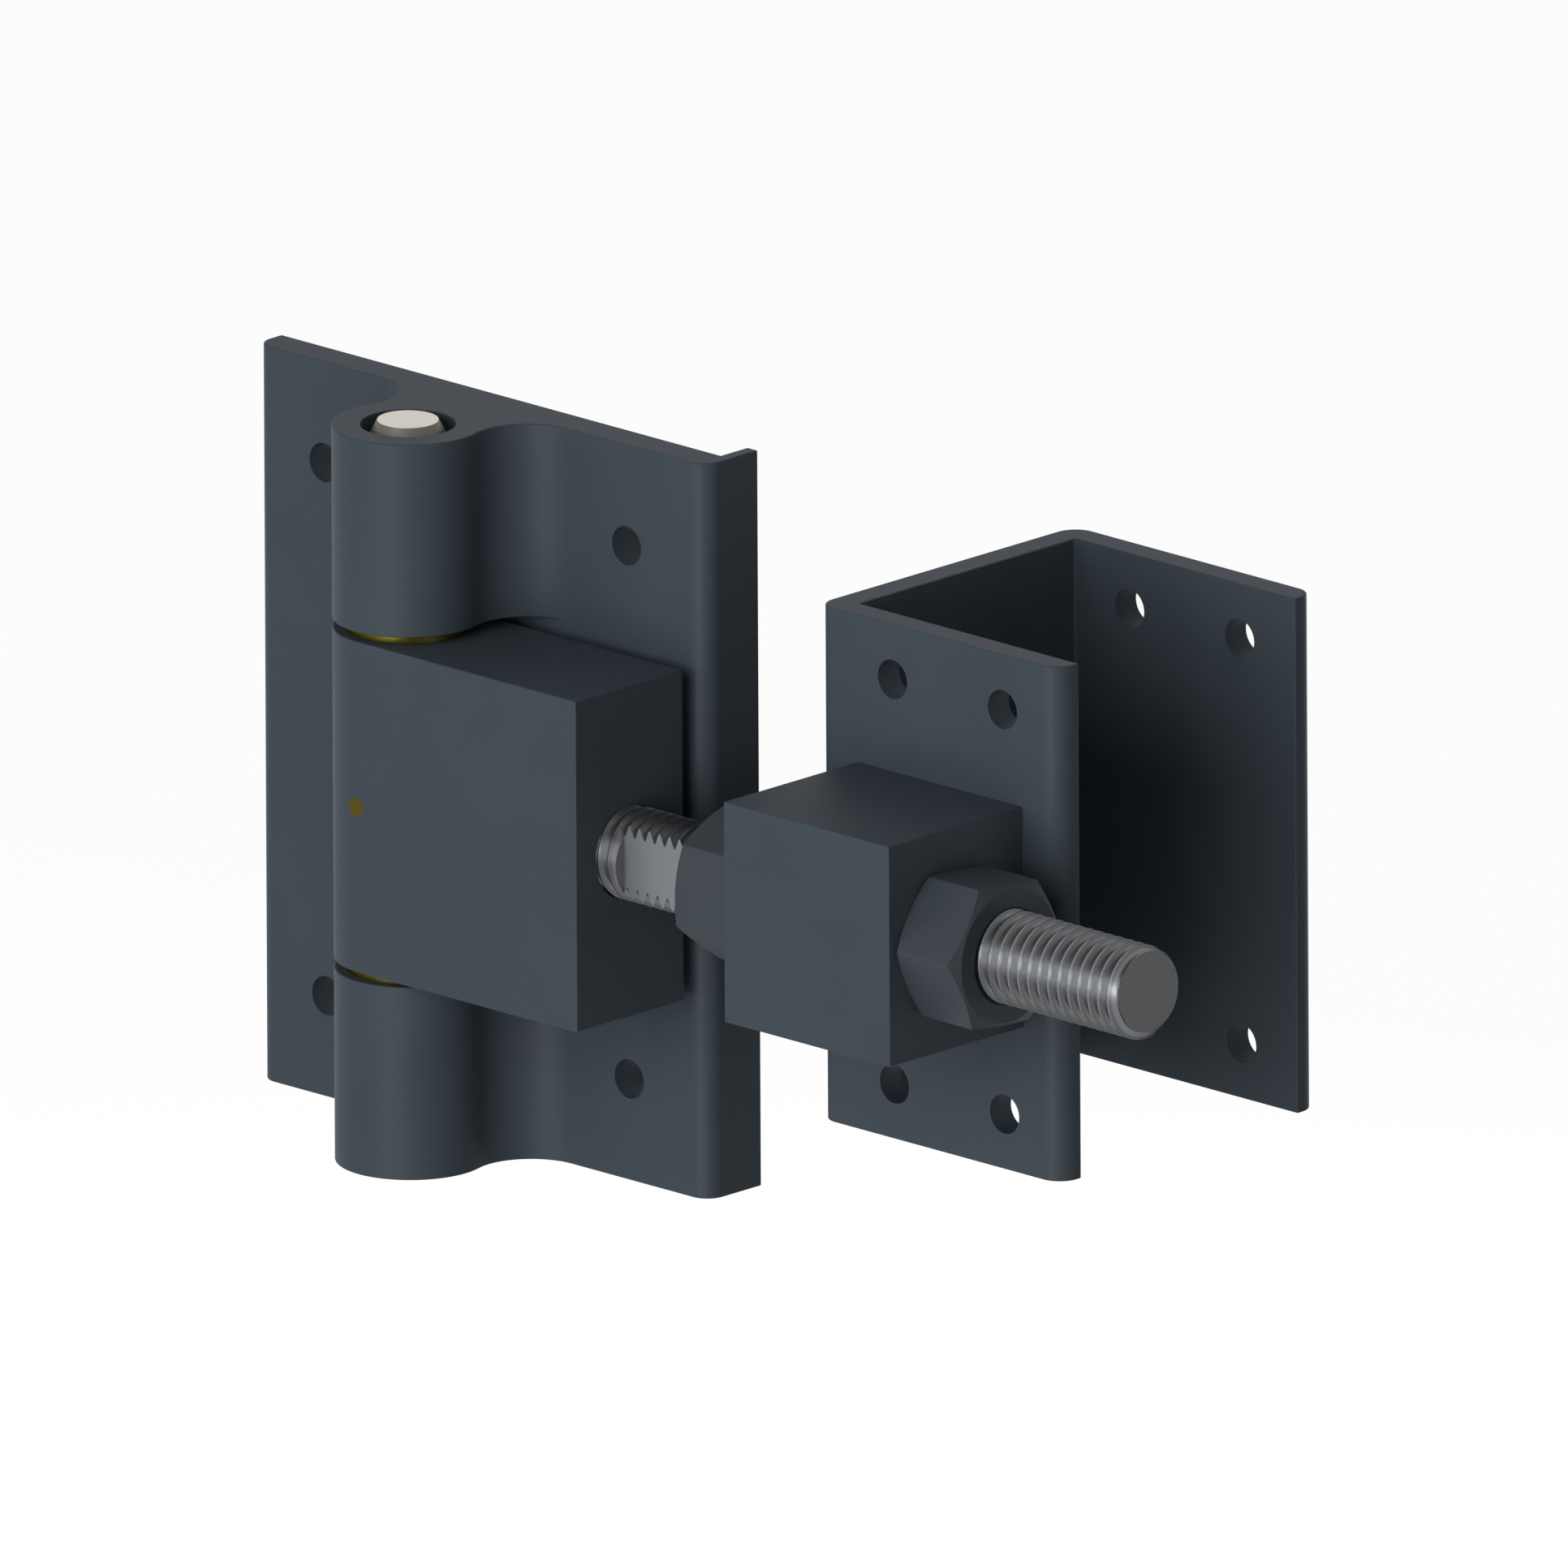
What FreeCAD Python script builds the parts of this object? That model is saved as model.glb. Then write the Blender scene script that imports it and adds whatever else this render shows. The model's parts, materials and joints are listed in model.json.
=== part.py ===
import FreeCAD, Part
import os
from math import pi, sin, tan

import Sketcher

# Adjustable gate hinge, in millimetres. The origin is the centre of the post leaf's
# screw pattern on the leaf's back face. +X runs towards the gate, +Y into the post, +Z up.

SIZES = {
    # Post leaf, an extrusion along Z
    "leaf_height": 127.0,
    "leaf_width": 103.8,
    "leaf_thickness": 6.35,
    "leaf_edge_round": 3.5,
    "lip_thickness": 2.4,
    "lip_reach": 6.35,
    "lip_corner_round": 3.5,
    "post_pitch_across": 69.85,
    "post_pitch_up": 92.08,
    "post_edge_margin": 15.875,
    "mount_hole_diameter": 6.75,
    # Knuckles, and where the hinge pin stands
    "pin_inset": 50.8,
    "pin_standoff": 22.225,
    "knuckle_diameter": 25.4,
    "knuckle_bore": 15.875,
    "neck_fillet": 9.525,
    # Hinge pin and flanged bushes
    "pin_diameter": 12.7,
    "pin_protrusion": 0.7,
    "pin_chamfer_radial": 1.25,
    "pin_chamfer_length": 2.3,
    "bush_length": 25.4,
    "bush_flange_diameter": 21.6,
    "bush_flange_thickness": 1.5,
    "running_clearance": 0.05,
    "end_play": 0.09,
    # Swinging block, with the dowel that locks the pin in it
    "block_thickness": 25.4,
    "block_height": 57.15,
    "block_reach": 50.8,
    "dowel_diameter": 3.175,
    # Threaded rod and its wrench flats
    "rod_diameter": 15.875,
    "rod_length": 152.4,
    "rod_embed": 32.8,
    "rod_chamfer": 0.7,
    "flats_across": 9.525,
    "flats_start": 3.4,
    "flats_length": 15.875,
    # Hexagon nuts
    "nut_across_flats": 23.8,
    "nut_height": 13.9,
    "nut_face_diameter": 22.8,
    "nut_room": 21.8,
    "inner_nut_turn": 23.5,
    "outer_nut_turn": -4.0,
    # Adjuster block that the nuts clamp
    "adjuster_length": 38.1,
    "adjuster_height": 38.1,
    "adjuster_depth": 31.75,
    "adjuster_bore_clearance": 0.4,
    "rod_to_flange": 17.46,
    # Gate bracket, a channel extruded along Z
    "bracket_height": 88.9,
    "bracket_wall": 5.0,
    "bracket_channel": 51.2,
    "flange_length": 55.7,
    "adjuster_inset": 9.25,
    "web_front_round": 3.5,
    "web_rear_round": 4.0,
    "flange_front_round": 3.9,
    "flange_rear_round": 3.75,
    "gate_pitch_across": 25.4,
    "gate_pitch_up": 69.85,
    "gate_hole_inset": 17.45,
    # Flat-head screws that hold the adjuster block
    "screw_diameter": 6.35,
    "screw_head_diameter": 12.7,
    "screw_head_angle": 82.0,
    "screw_length": 15.875,
    "screw_pitch": 27.0,
    "screw_clearance": 0.2,
    "tap_runout": 1.5,
    "socket_across_flats": 3.97,
    "socket_depth": 2.2,
}

NUT_BEVEL = "tan(28 deg)"

LEAF_LEFT = "(Sizes.post_edge_margin + Sizes.post_pitch_across / 2)"
LEAF_RIGHT = f"(Sizes.leaf_width - {LEAF_LEFT})"
PIN_X = f"(Sizes.pin_inset - {LEAF_LEFT})"
PIN_Y = "(-Sizes.pin_standoff)"
KNUCKLE_RADIUS = "(Sizes.knuckle_diameter / 2)"
PIN_RADIUS = "(Sizes.pin_diameter / 2)"
PIN_BORE = "(Sizes.pin_diameter / 2 + Sizes.running_clearance)"
ROD_RADIUS = "(Sizes.rod_diameter / 2)"
KNUCKLE_GAP = "(Sizes.block_height + 2 * Sizes.bush_flange_thickness + 2 * Sizes.end_play)"
ROD_X = f"({PIN_X} + Sizes.block_reach - Sizes.rod_embed)"
INNER_NUT_X = f"({PIN_X} + Sizes.block_reach + Sizes.nut_room)"
ADJUSTER_X = f"({INNER_NUT_X} + Sizes.nut_height)"
OUTER_NUT_X = f"({ADJUSTER_X} + Sizes.adjuster_length)"
BRACKET_X = f"({ADJUSTER_X} - Sizes.adjuster_inset)"
BRACKET_Y = f"({PIN_Y} + Sizes.rod_to_flange)"
SCREW_X = "(Sizes.adjuster_inset + Sizes.adjuster_length / 2)"
SCREW_SLOPE = "tan(Sizes.screw_head_angle / 2 * 1 deg)"
CORNER_RADIUS = "(Sizes.nut_across_flats / 2 / cos(30 deg))"
CUT_MARGIN = 1.0


def fill_sheet(doc):
    sheet = doc.addObject("Spreadsheet::Sheet", "Sizes")
    for row, (alias, size) in enumerate(SIZES.items(), start=1):
        sheet.set(f"A{row}", str(size))
        sheet.setAlias(f"A{row}", alias)
    doc.recompute()


def new_body(doc, name, x="0", y="0", z="0", rotation=None):
    """A sub-part with its own label, placed by expressions."""
    body = doc.addObject("PartDesign::Body", name)
    body.Label = name
    if rotation:
        body.Placement = FreeCAD.Placement(FreeCAD.Vector(), rotation)
    for axis, place in zip("xyz", (x, y, z)):
        body.setExpression(f"Placement.Base.{axis}", place)
    return body


def origin_plane(body, role):
    return next(item for item in body.Origin.OriginFeatures if item.Role == role)


def new_sketch(body, name, plane, offset=("0", "0", "0")):
    """A sketch on an origin plane of the body, moved by offset in the plane's own axes."""
    sketch = body.newObject("Sketcher::SketchObject", name)
    sketch.AttachmentSupport = [(origin_plane(body, plane), "")]
    sketch.MapMode = "FlatFace"
    for axis, place in zip("xyz", offset):
        sketch.setExpression(f"AttachmentOffset.Base.{axis}", place)
    return sketch


def set_size(sketch, kind, *elements, size):
    value = sketch.evalExpression(size)
    index = sketch.addConstraint(Sketcher.Constraint(kind, *elements, value))
    sketch.setExpression(f"Constraints[{index}]", size)


def fix_point(sketch, element, point, x, y):
    """Hold a point at x, y from the sketch's origin."""
    for kind, place, axis in (("DistanceX", x, -2), ("DistanceY", y, -1)):
        value = sketch.evalExpression(place)
        if value > 0:
            set_size(sketch, kind, -1, 1, element, point, size=place)
        elif value < 0:
            set_size(sketch, kind, element, point, -1, 1, size=f"-({place})")
        else:
            sketch.addConstraint(Sketcher.Constraint("PointOnObject", element, point, axis))


def add_circle(sketch, x, y, radius):
    centre = FreeCAD.Vector(sketch.evalExpression(x), sketch.evalExpression(y), 0)
    circle = Part.Circle(centre, FreeCAD.Vector(0, 0, 1), sketch.evalExpression(radius))
    element = sketch.addGeometry(circle, False)
    set_size(sketch, "Radius", element, size=radius)
    fix_point(sketch, element, 3, x, y)
    return element


def add_arc(sketch, centre, radius, start, end):
    """An arc from the angle start to the angle end, anticlockwise and in radians."""
    circle = Part.Circle(centre, FreeCAD.Vector(0, 0, 1), radius)
    return sketch.addGeometry(Part.ArcOfCircle(circle, start, end), False)


def add_outline(sketch, corners):
    """A closed outline of straight sides through corners (x, y) or (x, y, rounding radius).

    A rounded corner gets an arc that is tangent to both sides, and a construction point
    that keeps the place of the sharp corner.
    """
    count = len(corners)
    points = []
    rounds = []
    for x, y, *rounding in corners:
        points.append(FreeCAD.Vector(sketch.evalExpression(x), sketch.evalExpression(y), 0))
        rounds.append(sketch.evalExpression(rounding[0]) if rounding else 0.0)
    into = []
    out_of = []
    for index, point in enumerate(points):
        back = (points[index - 1] - point).normalize()
        ahead = (points[(index + 1) % count] - point).normalize()
        trim = rounds[index] / tan(back.getAngle(ahead) / 2)
        into.append(point + back * trim)
        out_of.append(point + ahead * trim)
    first = sketch.GeometryCount
    for index in range(count):
        side = Part.LineSegment(out_of[index], into[(index + 1) % count])
        sketch.addGeometry(side, False)
    for index, (x, y, *rounding) in enumerate(corners):
        side_in = first + (index - 1) % count
        side_out = first + index
        if rounding:
            sides = (side_in, side_out)
            round_corner(sketch, points[index], into[index], out_of[index], sides, corners[index])
        else:
            sketch.addConstraint(Sketcher.Constraint("Coincident", side_in, 2, side_out, 1))
            fix_point(sketch, side_out, 1, x, y)


def round_corner(sketch, corner, arrive, leave, sides, place):
    x, y, radius = place
    size = sketch.evalExpression(radius)
    back = (arrive - corner).normalize()
    ahead = (leave - corner).normalize()
    middle = (back + ahead).normalize()
    centre = corner + middle * (size / sin(back.getAngle(ahead) / 2))
    turns_left = ahead.cross(back).z > 0
    first, last = (arrive, leave) if turns_left else (leave, arrive)
    right = FreeCAD.Vector(1, 0, 0)
    angles = []
    for end in (first, last):
        spoke = end - centre
        angle = right.getAngle(spoke)
        angles.append(angle if spoke.y >= 0 else 2 * pi - angle)
    if angles[1] < angles[0]:
        angles[1] += 2 * pi
    arc = add_arc(sketch, centre, size, *angles)
    mark = sketch.addGeometry(Part.Point(corner), True)
    arrive_end, leave_end = (1, 2) if turns_left else (2, 1)
    sketch.addConstraint(Sketcher.Constraint("Tangent", sides[0], 2, arc, arrive_end))
    sketch.addConstraint(Sketcher.Constraint("Tangent", sides[1], 1, arc, leave_end))
    set_size(sketch, "Radius", arc, size=radius)
    fix_point(sketch, mark, 1, x, y)
    for side in sides:
        sketch.addConstraint(Sketcher.Constraint("PointOnObject", mark, 1, side))


def add_hexagon(sketch, across_flats):
    corner = f"({across_flats} / 2 / cos(30 deg))"
    corners = []
    for angle in range(0, 360, 60):
        corners.append((f"{corner} * cos({angle} deg)", f"{corner} * sin({angle} deg)"))
    add_outline(sketch, corners)


def add_hole_pattern(sketch, x, across, up):
    """Four screw holes at the corners of a rectangle about the height z = 0."""
    for column in (-1, 1):
        for row in (-1, 1):
            place_x = f"{x} + {column} * {across} / 2"
            place_y = f"{row} * {up} / 2"
            add_circle(sketch, place_x, place_y, "Sizes.mount_hole_diameter / 2")


def extrude(body, name, sketch, length=None, both_ways=False, reverse=False, cut=False):
    """A pad, or with cut a pocket. Without a length it runs through all."""
    feature = body.newObject("PartDesign::Pocket" if cut else "PartDesign::Pad", name)
    feature.Profile = sketch
    feature.SideType = "Symmetric" if both_ways else "One side"
    feature.Reversed = reverse
    if length:
        feature.setExpression("Length", length)
    else:
        feature.Type = "ThroughAll"
    return feature


def revolve(body, name, sketch, axis, cut=False):
    feature = body.newObject("PartDesign::Groove" if cut else "PartDesign::Revolution", name)
    feature.Profile = sketch
    feature.ReferenceAxis = (sketch, [axis])
    feature.Angle = 360
    return feature


def mirror(body, name, feature, plane):
    mirrored = body.newObject("PartDesign::Mirrored", name)
    mirrored.Originals = [feature]
    mirrored.MirrorPlane = (origin_plane(body, plane), [""])
    body.Tip = mirrored
    return mirrored


def knuckle_section(sketch):
    """The knuckle's round and the S-shaped neck that blends it into the plate's front face."""
    knuckle = sketch.evalExpression(KNUCKLE_RADIUS)
    fillet = sketch.evalExpression("Sizes.neck_fillet")
    front = -sketch.evalExpression("Sizes.leaf_thickness")
    axis_x = sketch.evalExpression(PIN_X)
    axis_y = sketch.evalExpression(PIN_Y)
    drop = front - fillet - axis_y
    spread = ((knuckle + fillet) ** 2 - drop**2) ** 0.5
    left = FreeCAD.Vector(axis_x - spread, front - fillet, 0)
    right = FreeCAD.Vector(axis_x + spread, front - fillet, 0)
    axis = FreeCAD.Vector(axis_x, axis_y, 0)
    lean = FreeCAD.Vector(1, 0, 0).getAngle(left - axis)
    seat_left = FreeCAD.Vector(left.x, front, 0)
    seat_right = FreeCAD.Vector(right.x, front, 0)
    left_arc = add_arc(sketch, left, fillet, lean - pi, pi / 2)
    barrel_arc = add_arc(sketch, axis, knuckle, lean, 3 * pi - lean)
    right_arc = add_arc(sketch, right, fillet, pi / 2, 2 * pi - lean)
    root = sketch.addGeometry(Part.LineSegment(seat_right, seat_left), False)
    sketch.addConstraint(Sketcher.Constraint("Tangent", left_arc, 1, barrel_arc, 1))
    sketch.addConstraint(Sketcher.Constraint("Tangent", barrel_arc, 2, right_arc, 2))
    sketch.addConstraint(Sketcher.Constraint("Tangent", right_arc, 1, root, 1))
    sketch.addConstraint(Sketcher.Constraint("Tangent", root, 2, left_arc, 2))
    set_size(sketch, "Radius", left_arc, size="Sizes.neck_fillet")
    set_size(sketch, "Radius", right_arc, size="Sizes.neck_fillet")
    set_size(sketch, "Radius", barrel_arc, size=KNUCKLE_RADIUS)
    fix_point(sketch, barrel_arc, 3, PIN_X, PIN_Y)
    sketch.addConstraint(Sketcher.Constraint("Horizontal", root))
    set_size(sketch, "DistanceY", root, 1, -1, 1, size="Sizes.leaf_thickness")


def make_knuckle_leaf(doc):
    body = new_body(doc, "knuckle_leaf")
    front = "-Sizes.leaf_thickness"
    lip_inside = f"{LEAF_RIGHT} - Sizes.lip_thickness"
    plate = new_sketch(body, "plate_section", "XY_Plane")
    add_outline(plate, [
        (f"-{LEAF_LEFT}", "0"),
        (f"-{LEAF_LEFT}", front, "Sizes.leaf_edge_round"),
        (LEAF_RIGHT, front, "Sizes.lip_corner_round"),
        (LEAF_RIGHT, "Sizes.lip_reach"),
        (lip_inside, "Sizes.lip_reach"),
        (lip_inside, "0"),
    ])
    extrude(body, "plate", plate, "Sizes.leaf_height", both_ways=True)
    section = new_sketch(body, "knuckle_section", "XY_Plane")
    knuckle_section(section)
    extrude(body, "knuckle_run", section, "Sizes.leaf_height", both_ways=True)

    reach = f"({KNUCKLE_RADIUS} + Sizes.neck_fillet + {CUT_MARGIN})"
    cutter_front = f"{PIN_Y} - {KNUCKLE_RADIUS} - {CUT_MARGIN}"
    gap = new_sketch(body, "gap_section", "XY_Plane")
    add_outline(gap, [
        (f"{PIN_X} - {reach}", front),
        (f"{PIN_X} - {reach}", cutter_front),
        (f"{PIN_X} + {reach}", cutter_front),
        (f"{PIN_X} + {reach}", front),
    ])
    extrude(body, "knuckle_gap", gap, KNUCKLE_GAP, both_ways=True, cut=True)

    bore = new_sketch(body, "bore_circle", "XY_Plane")
    add_circle(bore, PIN_X, PIN_Y, "Sizes.knuckle_bore / 2")
    extrude(body, "knuckle_bore", bore, both_ways=True, cut=True)

    holes = new_sketch(body, "post_holes", "XZ_Plane")
    add_hole_pattern(holes, "0", "Sizes.post_pitch_across", "Sizes.post_pitch_up")
    extrude(body, "post_screw_holes", holes, both_ways=True, cut=True)
    return body


def make_bush(doc, name, side):
    """A flanged bush. Its flange faces the block, on the side of z = 0 given by side."""
    turn = FreeCAD.Rotation(FreeCAD.Vector(1, 0, 0), 0 if side > 0 else 180)
    seat = f"{side} * {KNUCKLE_GAP} / 2"
    body = new_body(doc, name, PIN_X, PIN_Y, seat, turn)
    section = new_sketch(body, f"{name}_section", "XZ_Plane")
    add_outline(section, [
        (PIN_BORE, "-Sizes.bush_flange_thickness"),
        ("Sizes.bush_flange_diameter / 2", "-Sizes.bush_flange_thickness"),
        ("Sizes.bush_flange_diameter / 2", "0"),
        ("Sizes.knuckle_bore / 2", "0"),
        ("Sizes.knuckle_bore / 2", "Sizes.bush_length"),
        (PIN_BORE, "Sizes.bush_length"),
    ])
    revolve(body, f"{name}_turned", section, "V_Axis")
    return body


def make_hinge_pin(doc):
    body = new_body(doc, "hinge_pin", PIN_X, PIN_Y)
    end = "(Sizes.leaf_height / 2 + Sizes.pin_protrusion)"
    shoulder = f"({end} - Sizes.pin_chamfer_length)"
    end_radius = f"{PIN_RADIUS} - Sizes.pin_chamfer_radial"
    section = new_sketch(body, "pin_section", "XZ_Plane")
    add_outline(section, [
        ("0", f"-{end}"),
        (end_radius, f"-{end}"),
        (PIN_RADIUS, f"-{shoulder}"),
        (PIN_RADIUS, shoulder),
        (end_radius, end),
        ("0", end),
    ])
    revolve(body, "pin_turned", section, "V_Axis")
    cross_hole = new_sketch(body, "pin_cross_hole", "XZ_Plane")
    add_circle(cross_hole, "0", "0", "Sizes.dowel_diameter / 2")
    extrude(body, "pin_drilled", cross_hole, both_ways=True, cut=True)
    return body


def make_hinge_block(doc):
    body = new_body(doc, "hinge_block", PIN_X, PIN_Y)
    half = "Sizes.block_thickness / 2"
    nose = new_sketch(body, "nose_circle", "XY_Plane")
    add_circle(nose, "0", "0", half)
    extrude(body, "round_nose", nose, "Sizes.block_height", both_ways=True)
    slab = new_sketch(body, "slab_section", "XY_Plane")
    add_outline(slab, [
        ("0", f"-{half}"),
        ("Sizes.block_reach", f"-{half}"),
        ("Sizes.block_reach", half),
        ("0", half),
    ])
    extrude(body, "slab", slab, "Sizes.block_height", both_ways=True)
    bore = new_sketch(body, "pin_bore_circle", "XY_Plane")
    add_circle(bore, "0", "0", PIN_BORE)
    extrude(body, "pin_bore", bore, both_ways=True, cut=True)
    rod_hole = new_sketch(body, "rod_hole_circle", "YZ_Plane", ("0", "0", "Sizes.block_reach"))
    add_circle(rod_hole, "0", "0", ROD_RADIUS)
    extrude(body, "rod_hole", rod_hole, "Sizes.rod_embed", cut=True)
    dowel_hole = new_sketch(body, "dowel_hole_circle", "XZ_Plane")
    add_circle(dowel_hole, "0", "0", "Sizes.dowel_diameter / 2")
    extrude(body, "dowel_hole", dowel_hole, both_ways=True, cut=True)
    return body


def make_cross_dowel(doc):
    body = new_body(doc, "cross_dowel", PIN_X, PIN_Y)
    circle = new_sketch(body, "dowel_circle", "XZ_Plane")
    add_circle(circle, "0", "0", "Sizes.dowel_diameter / 2")
    extrude(body, "dowel", circle, "Sizes.block_thickness", both_ways=True)
    return body


def make_adjusting_rod(doc):
    """The rod starts at the bottom of its hole in the block. Its thread isn't cut here."""
    body = new_body(doc, "adjusting_rod", ROD_X, PIN_Y)
    section = new_sketch(body, "rod_section", "XY_Plane")
    end_radius = f"{ROD_RADIUS} - Sizes.rod_chamfer"
    add_outline(section, [
        ("0", "0"),
        ("Sizes.rod_length", "0"),
        ("Sizes.rod_length", end_radius),
        ("Sizes.rod_length - Sizes.rod_chamfer", ROD_RADIUS),
        ("Sizes.rod_chamfer", ROD_RADIUS),
        ("0", end_radius),
    ])
    revolve(body, "rod_turned", section, "H_Axis")
    start = "Sizes.rod_embed + Sizes.flats_start"
    flats = new_sketch(body, "flats_section", "YZ_Plane", ("0", "0", start))
    outside = f"({ROD_RADIUS} + {CUT_MARGIN})"
    for side in (-1, 1):
        add_outline(flats, [
            (f"{side} * Sizes.flats_across / 2", f"-{outside}"),
            (f"{side} * {outside}", f"-{outside}"),
            (f"{side} * {outside}", outside),
            (f"{side} * Sizes.flats_across / 2", outside),
        ])
    extrude(body, "wrench_flats", flats, "Sizes.flats_length", reverse=True, cut=True)
    return body


def make_nut(doc, name, face_x, turn):
    """A hexagon nut centred on its own origin and turned about the rod. Its bore is plain."""
    rotation = FreeCAD.Rotation(FreeCAD.Vector(1, 0, 0), turn)
    body = new_body(doc, name, f"{face_x} + Sizes.nut_height / 2", PIN_Y, "0", rotation)
    hexagon = new_sketch(body, f"{name}_hexagon", "YZ_Plane")
    add_hexagon(hexagon, "Sizes.nut_across_flats")
    extrude(body, f"{name}_blank", hexagon, "Sizes.nut_height", both_ways=True)
    bore = new_sketch(body, f"{name}_bore_circle", "YZ_Plane")
    add_circle(bore, "0", "0", f"{ROD_RADIUS} + Sizes.running_clearance")
    extrude(body, f"{name}_bore", bore, both_ways=True, cut=True)
    end = "Sizes.nut_height / 2"
    face = "Sizes.nut_face_diameter / 2"
    corner = f"{CORNER_RADIUS} + {CUT_MARGIN}"
    bevel = new_sketch(body, f"{name}_bevels", "XY_Plane")
    add_outline(bevel, [
        (end, face),
        (end, corner),
        (f"{end} - ({corner} - {face}) * {NUT_BEVEL}", corner),
    ])
    cut = revolve(body, f"{name}_bevel_cut", bevel, "H_Axis", cut=True)
    mirror(body, f"{name}_far_bevel", cut, "YZ_Plane")
    return body


def make_adjuster_block(doc):
    body = new_body(doc, "adjuster_block", ADJUSTER_X, PIN_Y)
    half = "Sizes.adjuster_height / 2"
    front = "Sizes.rod_to_flange - Sizes.adjuster_depth"
    section = new_sketch(body, "adjuster_section", "YZ_Plane")
    add_outline(section, [
        (front, f"-{half}"),
        ("Sizes.rod_to_flange", f"-{half}"),
        ("Sizes.rod_to_flange", half),
        (front, half),
    ])
    extrude(body, "adjuster_blank", section, "Sizes.adjuster_length")
    bore = new_sketch(body, "adjuster_bore_circle", "YZ_Plane")
    add_circle(bore, "0", "0", f"{ROD_RADIUS} + Sizes.adjuster_bore_clearance")
    extrude(body, "adjuster_bore", bore, both_ways=True, cut=True)
    taps = new_sketch(body, "tap_circles", "XZ_Plane", ("0", "0", "-Sizes.rod_to_flange"))
    for row in (-1, 1):
        height = f"{row} * Sizes.screw_pitch / 2"
        add_circle(taps, "Sizes.adjuster_length / 2", height, "Sizes.screw_diameter / 2")
    depth = "Sizes.screw_length - Sizes.bracket_wall + Sizes.tap_runout"
    extrude(body, "tapped_holes", taps, depth, reverse=True, cut=True)
    return body


def make_gate_bracket(doc):
    """Local origin: the web's outer face, the front flange's outer face, mid height."""
    body = new_body(doc, "gate_bracket", BRACKET_X, BRACKET_Y)
    wall = "Sizes.bracket_wall"
    tip = "Sizes.flange_length"
    rear_inside = "(Sizes.bracket_wall + Sizes.bracket_channel)"
    rear_outside = f"({rear_inside} + Sizes.bracket_wall)"
    section = new_sketch(body, "channel_section", "XY_Plane")
    add_outline(section, [
        ("0", "0", "Sizes.web_front_round"),
        (tip, "0", "Sizes.flange_front_round"),
        (tip, wall),
        (wall, wall),
        (wall, rear_inside),
        (tip, rear_inside),
        (tip, rear_outside, "Sizes.flange_rear_round"),
        ("0", rear_outside, "Sizes.web_rear_round"),
    ])
    extrude(body, "channel", section, "Sizes.bracket_height", both_ways=True)
    holes = new_sketch(body, "gate_holes", "XZ_Plane")
    middle = "(Sizes.gate_hole_inset + Sizes.gate_pitch_across / 2)"
    add_hole_pattern(holes, middle, "Sizes.gate_pitch_across", "Sizes.gate_pitch_up")
    extrude(body, "gate_screw_holes", holes, both_ways=True, cut=True)

    shank = "(Sizes.screw_diameter / 2 + Sizes.screw_clearance)"
    head = "(Sizes.screw_head_diameter / 2)"
    sink = new_sketch(body, "countersink_section", "XY_Plane", (SCREW_X, "0", "Sizes.screw_pitch / 2"))
    add_outline(sink, [
        ("0", "0"),
        (shank, "0"),
        (shank, f"{wall} - ({head} - {shank}) / {SCREW_SLOPE}"),
        (head, wall),
        ("0", wall),
    ])
    cut = revolve(body, "countersink", sink, "V_Axis", cut=True)
    mirror(body, "lower_countersink", cut, "XY_Plane")
    return body


def make_block_screw(doc, name, side):
    """A flat-head screw. Its head is flush with the inside of the bracket's front flange."""
    inside = f"{BRACKET_Y} + Sizes.bracket_wall"
    facing = FreeCAD.Rotation(FreeCAD.Vector(1, 0, 0), -90)
    height = f"{side} * Sizes.screw_pitch / 2"
    body = new_body(doc, name, f"{BRACKET_X} + {SCREW_X}", inside, height, facing)
    shank = "(Sizes.screw_diameter / 2)"
    head = "(Sizes.screw_head_diameter / 2)"
    section = new_sketch(body, f"{name}_section", "XZ_Plane")
    add_outline(section, [
        ("0", "0"),
        ("0", "-Sizes.screw_length"),
        (shank, "-Sizes.screw_length"),
        (shank, f"-({head} - {shank}) / {SCREW_SLOPE}"),
        (head, "0"),
    ])
    revolve(body, f"{name}_turned", section, "V_Axis")
    socket = new_sketch(body, f"{name}_socket_hexagon", "XY_Plane")
    add_hexagon(socket, "Sizes.socket_across_flats")
    extrude(body, f"{name}_socket", socket, "Sizes.socket_depth", cut=True)
    return body


def check(doc, nodes):
    for item in doc.Objects:
        if "Invalid" in item.State or "Error" in item.State:
            raise RuntimeError(f"{item.Name} failed: {item.State}")
        if item.isDerivedFrom("Sketcher::SketchObject") and not item.FullyConstrained:
            raise RuntimeError(f"{item.Name} isn't fully constrained")
        if item.TypeId in ("PartDesign::Pocket", "PartDesign::Groove", "PartDesign::Mirrored"):
            before = item.BaseFeature.Shape.Volume
            if item.Shape.Volume >= before:
                raise RuntimeError(f"{item.Name} removed nothing")
    for node in nodes:
        shape = node.Shape
        if shape.isNull() or not shape.isValid() or len(shape.Solids) != 1:
            raise RuntimeError(f"{node.Label} isn't one valid solid")


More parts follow.
